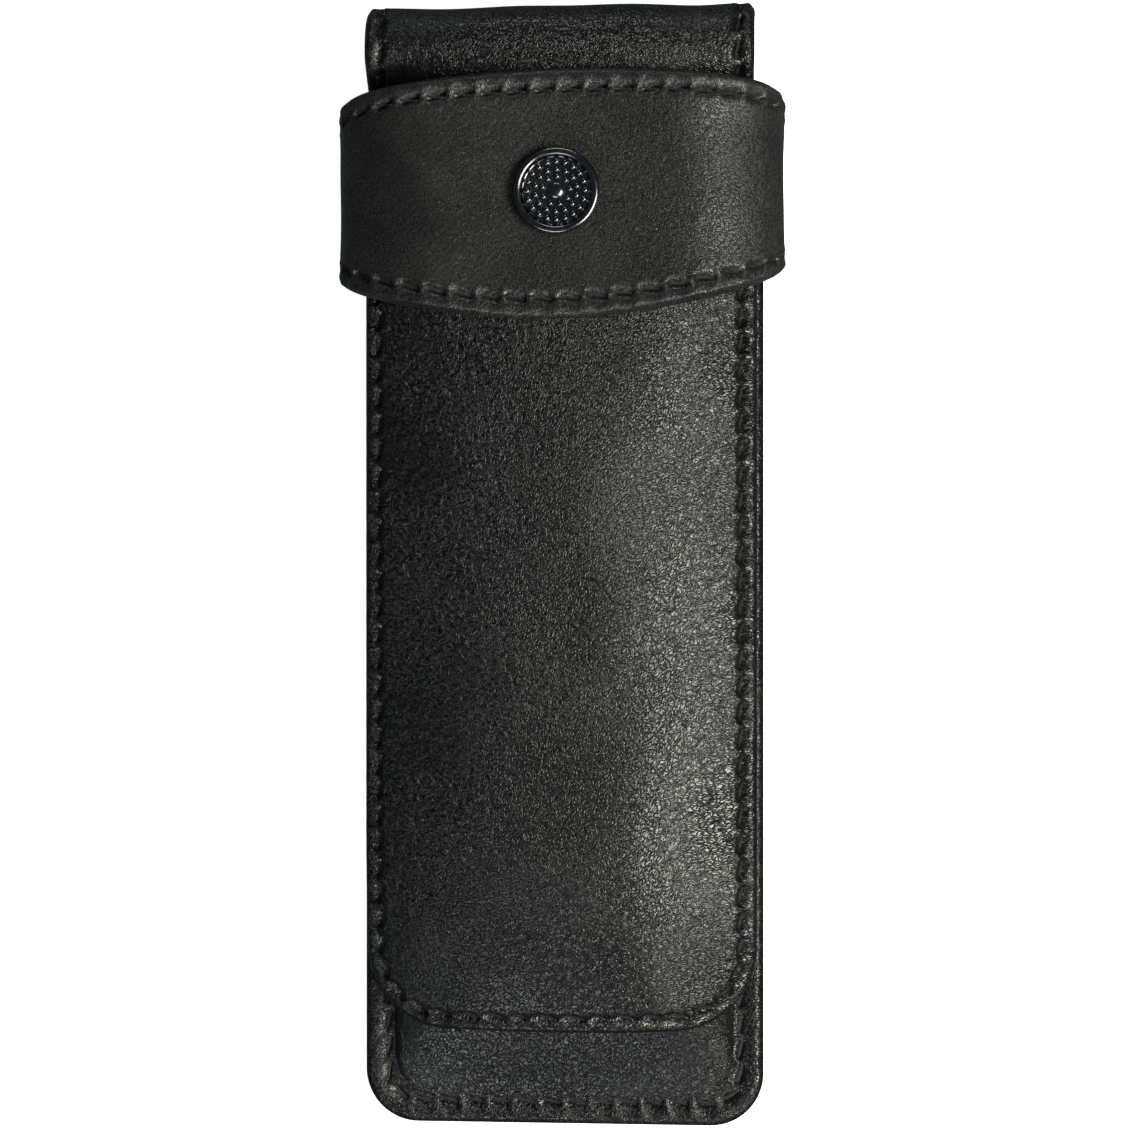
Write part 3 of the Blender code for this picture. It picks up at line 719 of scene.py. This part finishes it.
def lining_material():
    """Thin matt lining leather with a suede-like nap."""
    made, tree, shader = tree_of("lining_leather", (0.03, 0.028, 0.027), 0.85)
    flat = flat_coordinates(tree)
    nap = noise(tree, flat, 2.6, 4.0, 0.7).outputs["Fac"]
    cloud = noise(tree, flat, 0.15, 2.0).outputs["Fac"]
    bump_surface(tree, shader, nap, 0.6, 0.08)
    tint = span(tree, maths(tree, "MULTIPLY", nap, cloud), 0.1, 0.4, 0.0, 1.0)
    colour = blend_colours(tree, tint, (0.017, 0.016, 0.0155), (0.045, 0.042, 0.04))
    tree.links.new(colour, shader.inputs["Base Color"])
    shader.inputs["Sheen Weight"].default_value = 0.25
    shader.inputs["Sheen Roughness"].default_value = 0.5
    return made


def thread_material():
    """Waxed twisted thread."""
    made, tree, shader = tree_of("waxed_thread", (0.010, 0.011, 0.011), 0.5)
    flat = flat_coordinates(tree)
    settings = {"wave_type": "BANDS", "bands_direction": "DIAGONAL"}
    wave = add(tree, "TexWave", settings, {"Scale": 1.6, "Distortion": 0.4}, {"Vector": flat})
    twist = wave.outputs["Fac"]
    bump_surface(tree, shader, twist, 0.7, 0.08)
    colour = blend_colours(tree, twist, (0.006, 0.0065, 0.0065), (0.016, 0.0165, 0.016))
    tree.links.new(colour, shader.inputs["Base Color"])
    return made


def mottled_material(name, low, high, roughness, metallic, scale, bump_depth):
    """A finish for a small plain piece: mottled colour and roughness and a fine uneven surface."""
    made, tree, shader = tree_of(name, low, roughness[0], metallic)
    place = add(tree, "TexCoord").outputs["Object"]
    mottle = noise(tree, place, scale, 4.0, 0.6).outputs["Fac"]
    tree.links.new(blend_colours(tree, mottle, low, high), shader.inputs["Base Color"])
    tree.links.new(span(tree, mottle, 0.3, 0.7, *roughness), shader.inputs["Roughness"])
    bump_surface(tree, shader, mottle, 0.5, bump_depth)
    return made


LEATHER = leather_material(
    "black_leather", 0.105, 0.37, 0.405, (0.0014, 0.0018, 0.0018), (0.0058, 0.0059, 0.0052)
)
# Painted light: the band's colours are about three times lighter than the case leather's, so that the band
# reads brighter under the same lamps.
BAND_LEATHER_PAINTED_LIGHT = leather_material(
    "smoother_black_leather_painted_light", 0.065, 0.45, 0.49, (0.006, 0.0064, 0.006), (0.018, 0.0175, 0.0155)
)
LINING = lining_material()
THREAD = thread_material()
DARK_METAL = mottled_material(
    "dark_nickel", (0.085, 0.085, 0.092), (0.13, 0.13, 0.14), (0.16, 0.26), 1.0, 900, 0.01
)
STEEL = mottled_material(
    "stamped_steel", (0.45, 0.45, 0.46), (0.62, 0.62, 0.63), (0.3, 0.45), 1.0, 700, 0.01
)
BOARD = mottled_material(
    "pulp_board", (0.30, 0.24, 0.17), (0.40, 0.33, 0.25), (0.85, 0.95), 0.0, 1500, 0.03
)
FELT = mottled_material(
    "felt_padding", (0.10, 0.10, 0.10), (0.20, 0.20, 0.20), (0.9, 0.98), 0.0, 1200, 0.06
)


# Pieces

FLAP = Panel(flap_surface, flap_half, FLAP_END, TIP_CORNER, FLAP_SEAM, 1.0)
BACK = Panel(back_surface, back_half, BACK_END, BODY_CORNER, BODY_SEAM, -1.0, puff=0.15, waviness=0.0)


def finish_piece(piece, slot, *nodes):
    """Hides the CAD nodes that a piece stands for, and gives the piece back. Its slot argument is not used.
    """
    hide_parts(*nodes)
    return piece


MIDDLE_RADIUS = FOLD_RADIUS - MIDDLE_DEPTH


def bend_between(piece, first, last):
    """Bakes a piece's transform into its mesh. Its two points first and last, in the middle of its thickness,
    are not used.
    """
    first, last = Vector(first) * MM, Vector(last) * MM
    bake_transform(piece)


def bend_with_back(piece):
    first, last = (0, BEND_Y, MIDDLE_DEPTH), (0, BEND_Y + MIDDLE_RADIUS, FOLD_RADIUS)
    bend_between(piece, first, last)


def bend_with_flap(piece):
    first, last = (0, BEND_Y + MIDDLE_RADIUS, WALL_TOP), (0, BEND_Y, FLAP_TOP - MIDDLE_DEPTH)
    bend_between(piece, first, last)


def panel_grid(panel, rows, shares, inset=0.0):
    """Flat coordinates on a panel whose outline is drawn in by inset."""
    radius = panel.radius - inset
    tip = np.clip(panel.end - inset - rows, 0.0, radius)
    narrowing = radius - np.sqrt(np.maximum(radius**2 - (radius - tip) ** 2, 0.0))
    half = panel.half(rows) - inset - narrowing
    return shares[None, :] * half[:, None], np.repeat(rows[:, None], len(shares), axis=1)


def make_flap():
    shares = column_shares(FLAP_HALF)
    x, s = panel_grid(FLAP, row_places(0.0, FLAP_END, TIP_CORNER, 0.45), shares)
    leather = skin("flap_outer_leather", FLAP, x, s, LEATHER)
    nodes = ("fold_wall_leather", "front_bend_leather", "flap_neck_leather", "flap_tail_leather")
    bend_with_flap(finish_piece(leather, "outer_leather", *nodes))
    shares = column_shares(FLAP_HALF, 3.0, 0.6, 2.0, FLAP_LINING[1] / 2)
    rows = row_places(0.0, FLAP_END - LINING_INSET, TIP_CORNER - LINING_INSET, 1.2, 20)
    x, s = panel_grid(FLAP, rows, shares, LINING_INSET)
    distance = FLAP.edge_distance(x, s) - LINING_INSET
    lining = layer("flap_inner_lining", FLAP, x, s, FLAP_LINING, distance, LINING)
    nodes = ("fold_wall_lining", "front_bend_lining", "flap_neck_lining", "flap_tail_lining")
    bend_with_flap(finish_piece(lining, "lining", *nodes))
    length = FLAP.seam_length(0.0)
    runs = stitch_runs(FLAP, -length, length, FLAP.seam_place)
    stitches = tubes("flap_edge_stitches", runs, THREAD)
    bend_with_flap(finish_piece(stitches, "thread", "flap_stitching"))


def make_padding():
    """The felt between the flap's leather and its lining."""
    start = s_of_front(PADDING_START)
    end, radius = FLAP_END - PADDING_INSET, TIP_CORNER - PADDING_INSET
    shares = np.linspace(-1.0, 1.0, 41)
    x, s = panel_grid(FLAP, row_places(start, end, radius, 1.5, 16), shares, PADDING_INSET)
    distance = np.maximum(np.minimum(FLAP.edge_distance(x, s) - PADDING_INSET, s - start), 0.0)
    felt = layer("flap_padding", FLAP, x, s, PADDING, distance, FELT)
    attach(finish_piece(felt, "padding", "flap_tail_padding"), "flap")


def make_back():
    shares = column_shares(BODY_HALF, 6.5, 0.4, 2.0)
    x, s = panel_grid(BACK, row_places(0.0, BACK_END, BODY_CORNER, 0.6), shares)
    leather = skin("back_outer_leather", BACK, x, s, LEATHER)
    bend_with_back(finish_piece(leather, "outer_leather", "back_panel_leather", "back_bend_leather"))
    make_back_lining()
    length = BACK.seam_length(0.0)
    runs = stitch_runs(BACK, -length, length, BACK.seam_place)
    stitches = tubes("back_edge_stitches", runs, THREAD)
    bend_with_back(stitches)


def make_back_lining():
    """The lining inside the pocket's seams, wider above the pocket's mouth."""
    shares = column_shares(BODY_HALF, 3.0, 0.6, 2.0, 0.25)
    rows = row_places(0.0, BACK_END - SEAM_FLANGE, BODY_CORNER - SEAM_FLANGE, 1.2, 12)
    x, s = panel_grid(BACK, rows, shares, SEAM_FLANGE)
    mouth_s = s_of_back(MOUTH_Y)
    above_mouth = smooth_step(mouth_s + 1, mouth_s - 2, s)
    widen = 1 + (SEAM_FLANGE - LINING_INSET) / (NECK_HALF - SEAM_FLANGE) * above_mouth
    x = x * widen
    own_edge = BACK.edge_distance(x, s) - np.where(widen > 1, LINING_INSET, SEAM_FLANGE)
    distance = np.maximum(own_edge, 0.0)
    lining = layer("back_inner_lining", BACK, x, s, BACK_LINING, distance, LINING)
    bend_with_back(finish_piece(lining, "lining", "back_lining", "back_bend_lining"))


class PocketPanel(Panel):
    """The pocket front, whose columns run over the moulded front and its flange."""

    def flat(self, c, y):
        return self.surface(c, y)[..., 0], -y

    def on_surface(self, x, s):
        """Holds for places on the flange, and below the moulded front."""
        y = -s
        foot = pocket_foot(y)
        share = (np.abs(x) - foot) / np.maximum(body_half(y) - foot, 0.1)
        in_flange = 1 - FLANGE_SHARE + FLANGE_SHARE * share
        turn = np.arccos(np.clip(np.abs(x) / foot, 0, 1) ** 1.5)
        in_end = (1 - FLANGE_SHARE) * (1 - 2 / math.pi * turn)
        return np.sign(x) * np.where(share > 0, in_flange, in_end), y

    def normal(self, c, y):
        step_c, step_y = 0.002, 0.05
        inner = np.clip(c, -1 + step_c, 1 - step_c)
        across = self.surface(inner + step_c, y) - self.surface(inner - step_c, y)
        ahead = self.surface(inner, y + step_y) - self.surface(inner, y - step_y)
        across[..., 1] = 0.0
        out = np.cross(across, ahead)
        lengths = np.linalg.norm(out, axis=-1, keepdims=True)
        flat_rows = (lengths < 1e-9) | (np.asarray(y)[..., None] < BOTTOM_Y + SEAM_FLANGE)
        out = np.where(flat_rows, np.array([0.0, 0.0, 1.0]), out / np.maximum(lengths, 1e-9))
        level = smooth_step(1 - FLANGE_SHARE, 1 - FLANGE_SHARE + 0.02, np.abs(c))[..., None]
        out = out * (1 - level) + np.array([0.0, 0.0, 1.0]) * level
        return out / np.linalg.norm(out, axis=-1, keepdims=True)


def pocket_half(s):
    return BODY_HALF + 0.0 * s


POCKET = PocketPanel(
    pocket_surface, pocket_half, -BOTTOM_Y, BODY_CORNER, BODY_SEAM, 1.0, puff=0.2, pull=0.65, waviness=0.08
)


def pocket_columns(flange_steps=20, dome_steps=64):
    """Column values from -1 to 1. They crowd in the middle, where even values would lie far apart."""
    dome = (1 - FLANGE_SHARE) * np.linspace(0.0, 1.0, dome_steps + 1) ** 1.5
    outer = 1 - FLANGE_SHARE * (1 - np.linspace(0.0, 1.0, flange_steps + 1)[1:])
    roll = 1 - 0.2 * FLANGE_SHARE * (1 - np.cos(np.linspace(math.pi / 2, 0.0, 7)))
    right = np.concatenate([dome, outer[outer < 1 - 0.2 * FLANGE_SHARE], roll])
    return np.concatenate([-right[:0:-1], right])


def make_pocket():
    ys = -row_places(-MOUTH_Y, -BOTTOM_Y, BODY_CORNER, 0.5, 32)[::-1]
    edges = [end + shift for side in (-1, 1) for end in notch_ends(side) for shift in (-0.02, 0.02)]
    c, y = np.meshgrid(pocket_columns(), np.sort(np.append(ys, edges)))
    mouth = MOUTH_Y - y
    distance = np.minimum(POCKET.edge_distance(c, y), mouth)
    out = POCKET.normal(c, y)
    base = POCKET.surface(c, y)
    fall = rounded_edge(distance, HEM / 2)
    depth = CORE + (HEM - CORE) * (1 - smooth_step(HEM_WIDTH, HEM_WIDTH + 0.9, distance))
    level = POCKET.relief(c, y) * smooth_step(0.0, HEM / 2, distance)
    valley = MOUTH_VALLEY * np.exp(-(((mouth - MOUTH_SEAM) / MOUTH_VALLEY_WIDTH) ** 2))
    level = level - valley * (np.abs(c) < 1 - FLANGE_SHARE)
    top = base + out * (level - fall)[..., None]
    bottom = base - out * (depth - fall)[..., None]
    fallen = SEAM_Z + pocket_height(y) - base[..., 2]
    flat = np.stack([base[..., 0] + np.sign(c) * fallen, -y, 0.0 * y], axis=-1)
    leather = closed_mesh("pocket_outer_leather", top, bottom, flat, LEATHER)
    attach(finish_piece(leather, "outer_leather", "pocket_front_leather"), "case_body")
    columns = np.linspace(-1 + FLANGE_SHARE, 1 - FLANGE_SHARE, 41)
    top_y = MOUTH_Y - LINING_BELOW_MOUTH
    c, y = np.meshgrid(columns, np.linspace(BOTTOM_Y + SEAM_FLANGE + 7, top_y, 90))
    lining = layer("pocket_inner_lining", POCKET, c, y, POCKET_LINING, top_y - y, LINING)
    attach(finish_piece(lining, "lining", "pocket_front_lining"), "case_body")


def make_body_stitches():
    """The seam round the pocket, broken where the band's feet come through it."""
    length = POCKET.seam_length(-MOUTH_Y) - 1.5
    runs = []
    for run in stitch_runs(POCKET, -length, length, POCKET.seam_place):
        low, high = notch_ends(1 if run[0][0] > 0 else -1)
        if not low - 1.5 < run[STITCH_STEPS // 2][1] < high + 1.5:
            runs.append(run)
    stitches = tubes("body_edge_stitches", runs, THREAD)
    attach(finish_piece(stitches, "thread", "body_stitching"), "case_body")


def make_mouth_stitches(count=17, reach=0.56):
    share, height = plain_stitch()
    y = np.full(STITCH_STEPS, MOUTH_Y - MOUTH_SEAM)
    runs = []
    for number in range(count):
        c = ((number + share) / count * 2 - 1) * reach
        arch = -0.05 + 0.3 * height
        runs.append(POCKET.surface(c, y) + POCKET.normal(c, y) * arch[:, None])
    stitches = tubes("mouth_edge_stitches", runs, THREAD)
    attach(finish_piece(stitches, "thread", "mouth_stitching"), "case_body")


class BandPanel(Panel):
    """The band, which has two long edges and open ends. Its badge presses it in a little."""

    def relief(self, v, u):
        at = self.surface(v, u)
        from_badge = np.hypot(at[..., 0], at[..., 1] - BADGE_Y)
        dent = BADGE_DENT * np.exp(-((from_badge / BADGE_DENT_WIDTH) ** 2))
        shoulder = SHOULDER * np.exp(-(((np.abs(at[..., 0]) - SHOULDER_X) / SHOULDER_WIDTH) ** 2))
        return super().relief(v, u) + shoulder * (at[..., 2] > BAND_WIDEST_Z) - dent

    def edge_distance(self, v, u):
        return band_half(u) - np.abs(v)

    def along(self, v, u):
        return u

    def upper_seam(self, t):
        return band_half(t) - BAND_SEAM, t

    def lower_seam(self, t):
        return BAND_SEAM - band_half(t), t


BAND = BandPanel(band_surface, band_half, BAND_END, 0.0, BAND_SEAM, 1.0, puff=0.3, waviness=0.10)


def make_band():
    shares = column_shares(BAND_HALF_HEIGHT, 6.0, 0.32, 0.9, 0.85)
    rows = np.linspace(-BAND_END, BAND_END, 2 * int(BAND_END / 0.45) + 1)
    u = np.repeat(rows[:, None], len(shares), axis=1)
    v = shares[None, :] * band_half(u)
    leather = skin("band_outer_leather", BAND, v, u, BAND_LEATHER_PAINTED_LIGHT, BAND_HEM)
    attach(finish_piece(leather, "outer_leather", "band_leather"), "case_body")
    inset = HEM_WIDTH + 0.6
    rows = np.linspace(-BAND_END + 1.5, BAND_END - 1.5, 110)
    shares = np.linspace(-1.0, 1.0, 31)
    u = np.repeat(rows[:, None], len(shares), axis=1)
    v = shares[None, :] * (band_half(u) - inset)
    distance = band_half(u) - inset - np.abs(v)
    lining = layer("band_inner_lining", BAND, v, u, BAND_LINING, distance, LINING)
    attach(finish_piece(lining, "lining", "band_lining"), "case_body")


def make_band_stitches():
    reach = BAND_END - 3.0
    for name, place in (("upper", BAND.upper_seam), ("lower", BAND.lower_seam)):
        stitches = tubes(f"band_{name}_stitches", stitch_runs(BAND, -reach, reach, place), THREAD)
        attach(finish_piece(stitches, "thread", f"band_{name}_stitching"), "case_body")
    share, height = plain_stitch()
    foot_u = float(np.interp(-BAND_BEND_X, -BAND_X[::-1], BAND_U[::-1]))
    for name, side in (("left", -1), ("right", 1)):
        runs = []
        for number in range(-2, 3):
            y = (number - 0.5 + share) * PITCH
            arch = 0.05 + 0.25 * height
            at = BAND.surface(y, np.full(STITCH_STEPS, side * foot_u))
            runs.append(at + np.stack([0.0 * arch, 0.0 * arch, 1.0 + arch], axis=-1))
        stitches = tubes(f"band_foot_stitches_{name}", runs, THREAD)
        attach(finish_piece(stitches, "thread", f"band_foot_stitching_{name}"), "case_body")


def make_divider():
    """A soft wall along the middle of the pocket."""
    ys = np.linspace(DIVIDER_LOW[1], DIVIDER_HIGH[1], 80)
    shares = np.linspace(0.0, 1.0, 24)
    floor = DIVIDER_LOW[2]
    ceiling = SEAM_Z + pocket_height(ys) - 2.4
    ceiling = ceiling - 2.0 * smooth_step(DIVIDER_HIGH[1] - 6, DIVIDER_HIGH[1], ys)
    y = np.repeat(ys[:, None], len(shares), axis=1)
    z = floor + shares[None, :] * (ceiling - floor)[:, None]
    half = (DIVIDER_HIGH[0] - DIVIDER_LOW[0]) / 2
    edges = [z - floor, ceiling[:, None] - z, DIVIDER_HIGH[1] - y, y - DIVIDER_LOW[1]]
    distance = np.minimum.reduce(edges)
    thick = half - rounded_edge(np.maximum(distance, 0.0), half)
    top = np.stack([thick, y, z], axis=-1)
    bottom = np.stack([-thick, y, z], axis=-1)
    wall = closed_mesh("pocket_divider", top, bottom, np.stack([y, z, 0.0 * y], axis=-1), LINING)
    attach(finish_piece(wall, "lining", "pen_divider"), "case_body")


# Badge

def spun(name, profile, centre, material, segments=96):
    """A profile of (radius, z) pairs from the axis out and back, turned about a vertical axis."""
    bm = bmesh.new()
    points = [bm.verts.new((radius * MM, 0, z * MM)) for radius, z in profile]
    edges = [bm.edges.new(pair) for pair in zip(points, points[1:])]
    bmesh.ops.spin(bm, geom=points + edges, cent=(0, 0, 0), axis=(0, 0, 1), angle=math.tau, steps=segments)
    bmesh.ops.remove_doubles(bm, verts=bm.verts, dist=0.001 * MM)
    bmesh.ops.recalc_face_normals(bm, faces=bm.faces)
    bmesh.ops.translate(bm, verts=bm.verts, vec=Vector(centre) * MM)
    mesh = mesh_of(bm, name)
    mesh.shade_smooth()
    mesh.set_sharp_from_angle(angle=math.radians(40))
    mesh.materials.append(material)
    return linked(name, mesh)


def arc(centre, radius, start, end, count):
    """Points of an arc, in degrees, in a profile's (radius, z) plane."""
    angles = np.radians(np.linspace(start, end, count))
    return [(centre[0] + radius * math.cos(a), centre[1] + radius * math.sin(a)) for a in angles]


RIM = 0.62
FIELD_Z = BADGE_TOP - 0.62
POST_RADIUS = 1.3
BOSS_RADIUS = 1.2
RINGS = ((4.05, 20, 0.52, 0.0), (2.95, 14, 0.50, 0.2), (1.95, 9, 0.46, 0.1))  # radius, beads, size, turn


def make_badge():
    """A polished cap: a round rim and, in its sunk field, rings of small beads round a boss."""
    field = BADGE_RADIUS - 2 * RIM
    low = BAND_TOP + 0.25
    profile = [(0.0, FIELD_Z), (field - 0.3, FIELD_Z)]
    profile += [(field - 0.1, FIELD_Z + 0.05), (field, FIELD_Z + 0.18)]
    profile += arc((BADGE_RADIUS - RIM, BADGE_TOP - RIM), RIM, 150, 0, 12)
    profile += [(BADGE_RADIUS, low + 0.35)] + arc((BADGE_RADIUS - 0.35, low + 0.35), 0.35, 0, -90, 5)
    profile += [(POST_RADIUS, low), (POST_RADIUS, BAND_TOP - 1.5), (0.0, BAND_TOP - 1.5)]
    cap = spun("badge_polished_cap", profile, (0.0, BADGE_Y, 0.0), DARK_METAL)
    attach(finish_piece(cap, "gunmetal", "badge_cap"), "case_body")
    beads = make_beads()
    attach(beads, "case_body")


def make_beads():
    """The rings of beads and the boss inside them, in one mesh."""
    bm = bmesh.new()
    for radius, count, size, start in RINGS:
        for i in range(count):
            angle = start + math.tau * i / count
            place = Vector((radius * math.cos(angle), BADGE_Y + radius * math.sin(angle), FIELD_Z + 0.1))
            made = bmesh.ops.create_icosphere(bm, subdivisions=2, radius=size * MM)["verts"]
            bmesh.ops.translate(bm, verts=made, vec=place * MM)
    made = bmesh.ops.create_uvsphere(bm, u_segments=32, v_segments=16, radius=BOSS_RADIUS * MM)["verts"]
    bmesh.ops.scale(bm, verts=made, vec=(1.0, 1.0, 0.45))
    bmesh.ops.translate(bm, verts=made, vec=Vector((0.0, BADGE_Y, FIELD_Z)) * MM)
    mesh = mesh_of(bm, "badge_beads")
    mesh.shade_smooth()
    mesh.materials.append(DARK_METAL)
    return linked("badge_beads", mesh)


def finish_kept_nodes():
    """The pieces that keep their CAD shape, all hidden inside."""
    finishes = {"back_stiffener": BOARD, "badge_washer": STEEL}
    for node, material in finishes.items():
        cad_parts[node].data.materials.clear()
        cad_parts[node].data.materials.append(material)


# Stage

def area_light(name, place, target, width, height, power, colour):
    data = bpy.data.lights.new(name, "AREA")
    data.shape = "RECTANGLE"
    data.size, data.size_y = width, height
    data.energy = power
    data.color = colour
    light = linked(name, data)
    light.location = place
    light.rotation_euler = (Vector(target) - light.location).to_track_quat("-Z", "Y").to_euler()


def make_floor():
    """A pale floor just below the case, which does not mirror in it."""
    bm = bmesh.new()
    bmesh.ops.create_grid(bm, x_segments=1, y_segments=1, size=3.0)
    floor = linked("floor", mesh_of(bm, "floor"))
    floor.location.z = -0.0004
    paper, _, shader = tree_of("pale_floor", (0.93, 0.93, 0.93), 0.9, specular=0.1)
    shader.inputs["Emission Color"].default_value = (1.0, 1.0, 1.0, 1.0)
    shader.inputs["Emission Strength"].default_value = 0.8
    floor.data.materials.append(paper)
    floor.visible_glossy = False


def make_lights():
    """A warm key from the right, a cool light past the tip and a low one past the fold. In metres."""
    area_light("key", (0.37, -0.11, 0.43), (0.0, 0.0, 0.01), 0.36, 0.30, 6.0, (1.0, 0.985, 0.87))
    area_light("end_light", (-0.12, -0.62, 0.45), (0.0, -0.05, 0.01), 0.50, 0.22, 2.5, (0.93, 1.0, 0.98))
    area_light("fold_light", (0.02, 0.55, 0.16), (0.0, 0.08, 0.01), 0.30, 0.08, 0.5, (0.90, 0.97, 1.0))
    world = bpy.data.worlds.new("world")
    world.use_nodes = True
    background = world.node_tree.nodes["Background"]
    background.inputs["Color"].default_value = (0.72, 0.92, 0.98, 1.0)
    background.inputs["Strength"].default_value = 0.10
    bpy.context.scene.world = world
    bpy.context.scene.view_settings.view_transform = "Standard"


CAMERA_DISTANCE = 0.42
CAMERA_SIDEWAYS = math.radians(3.0)  # the camera stands this far round towards +X
CAMERA_TURN = math.radians(4.65)  # and is turned back towards -X by this, which the lens shift makes up for


def make_camera():
    data = bpy.data.cameras.new("camera")
    data.sensor_width = 36.0
    data.lens = 90.5
    data.shift_x = 0.0715
    data.clip_start = 0.01
    camera = linked("camera", data)
    sideways = CAMERA_DISTANCE * math.sin(CAMERA_SIDEWAYS)
    camera.location = (sideways, 0.0012, CAMERA_DISTANCE * math.cos(CAMERA_SIDEWAYS))
    camera.rotation_euler = (0.0, CAMERA_TURN, 0.0)
    bpy.context.scene.camera = camera


make_camera()
make_flap()
make_padding()
make_back()
make_pocket()
make_body_stitches()
make_mouth_stitches()
make_band()
make_band_stitches()
make_divider()
make_badge()
finish_kept_nodes()
make_floor()
make_lights()
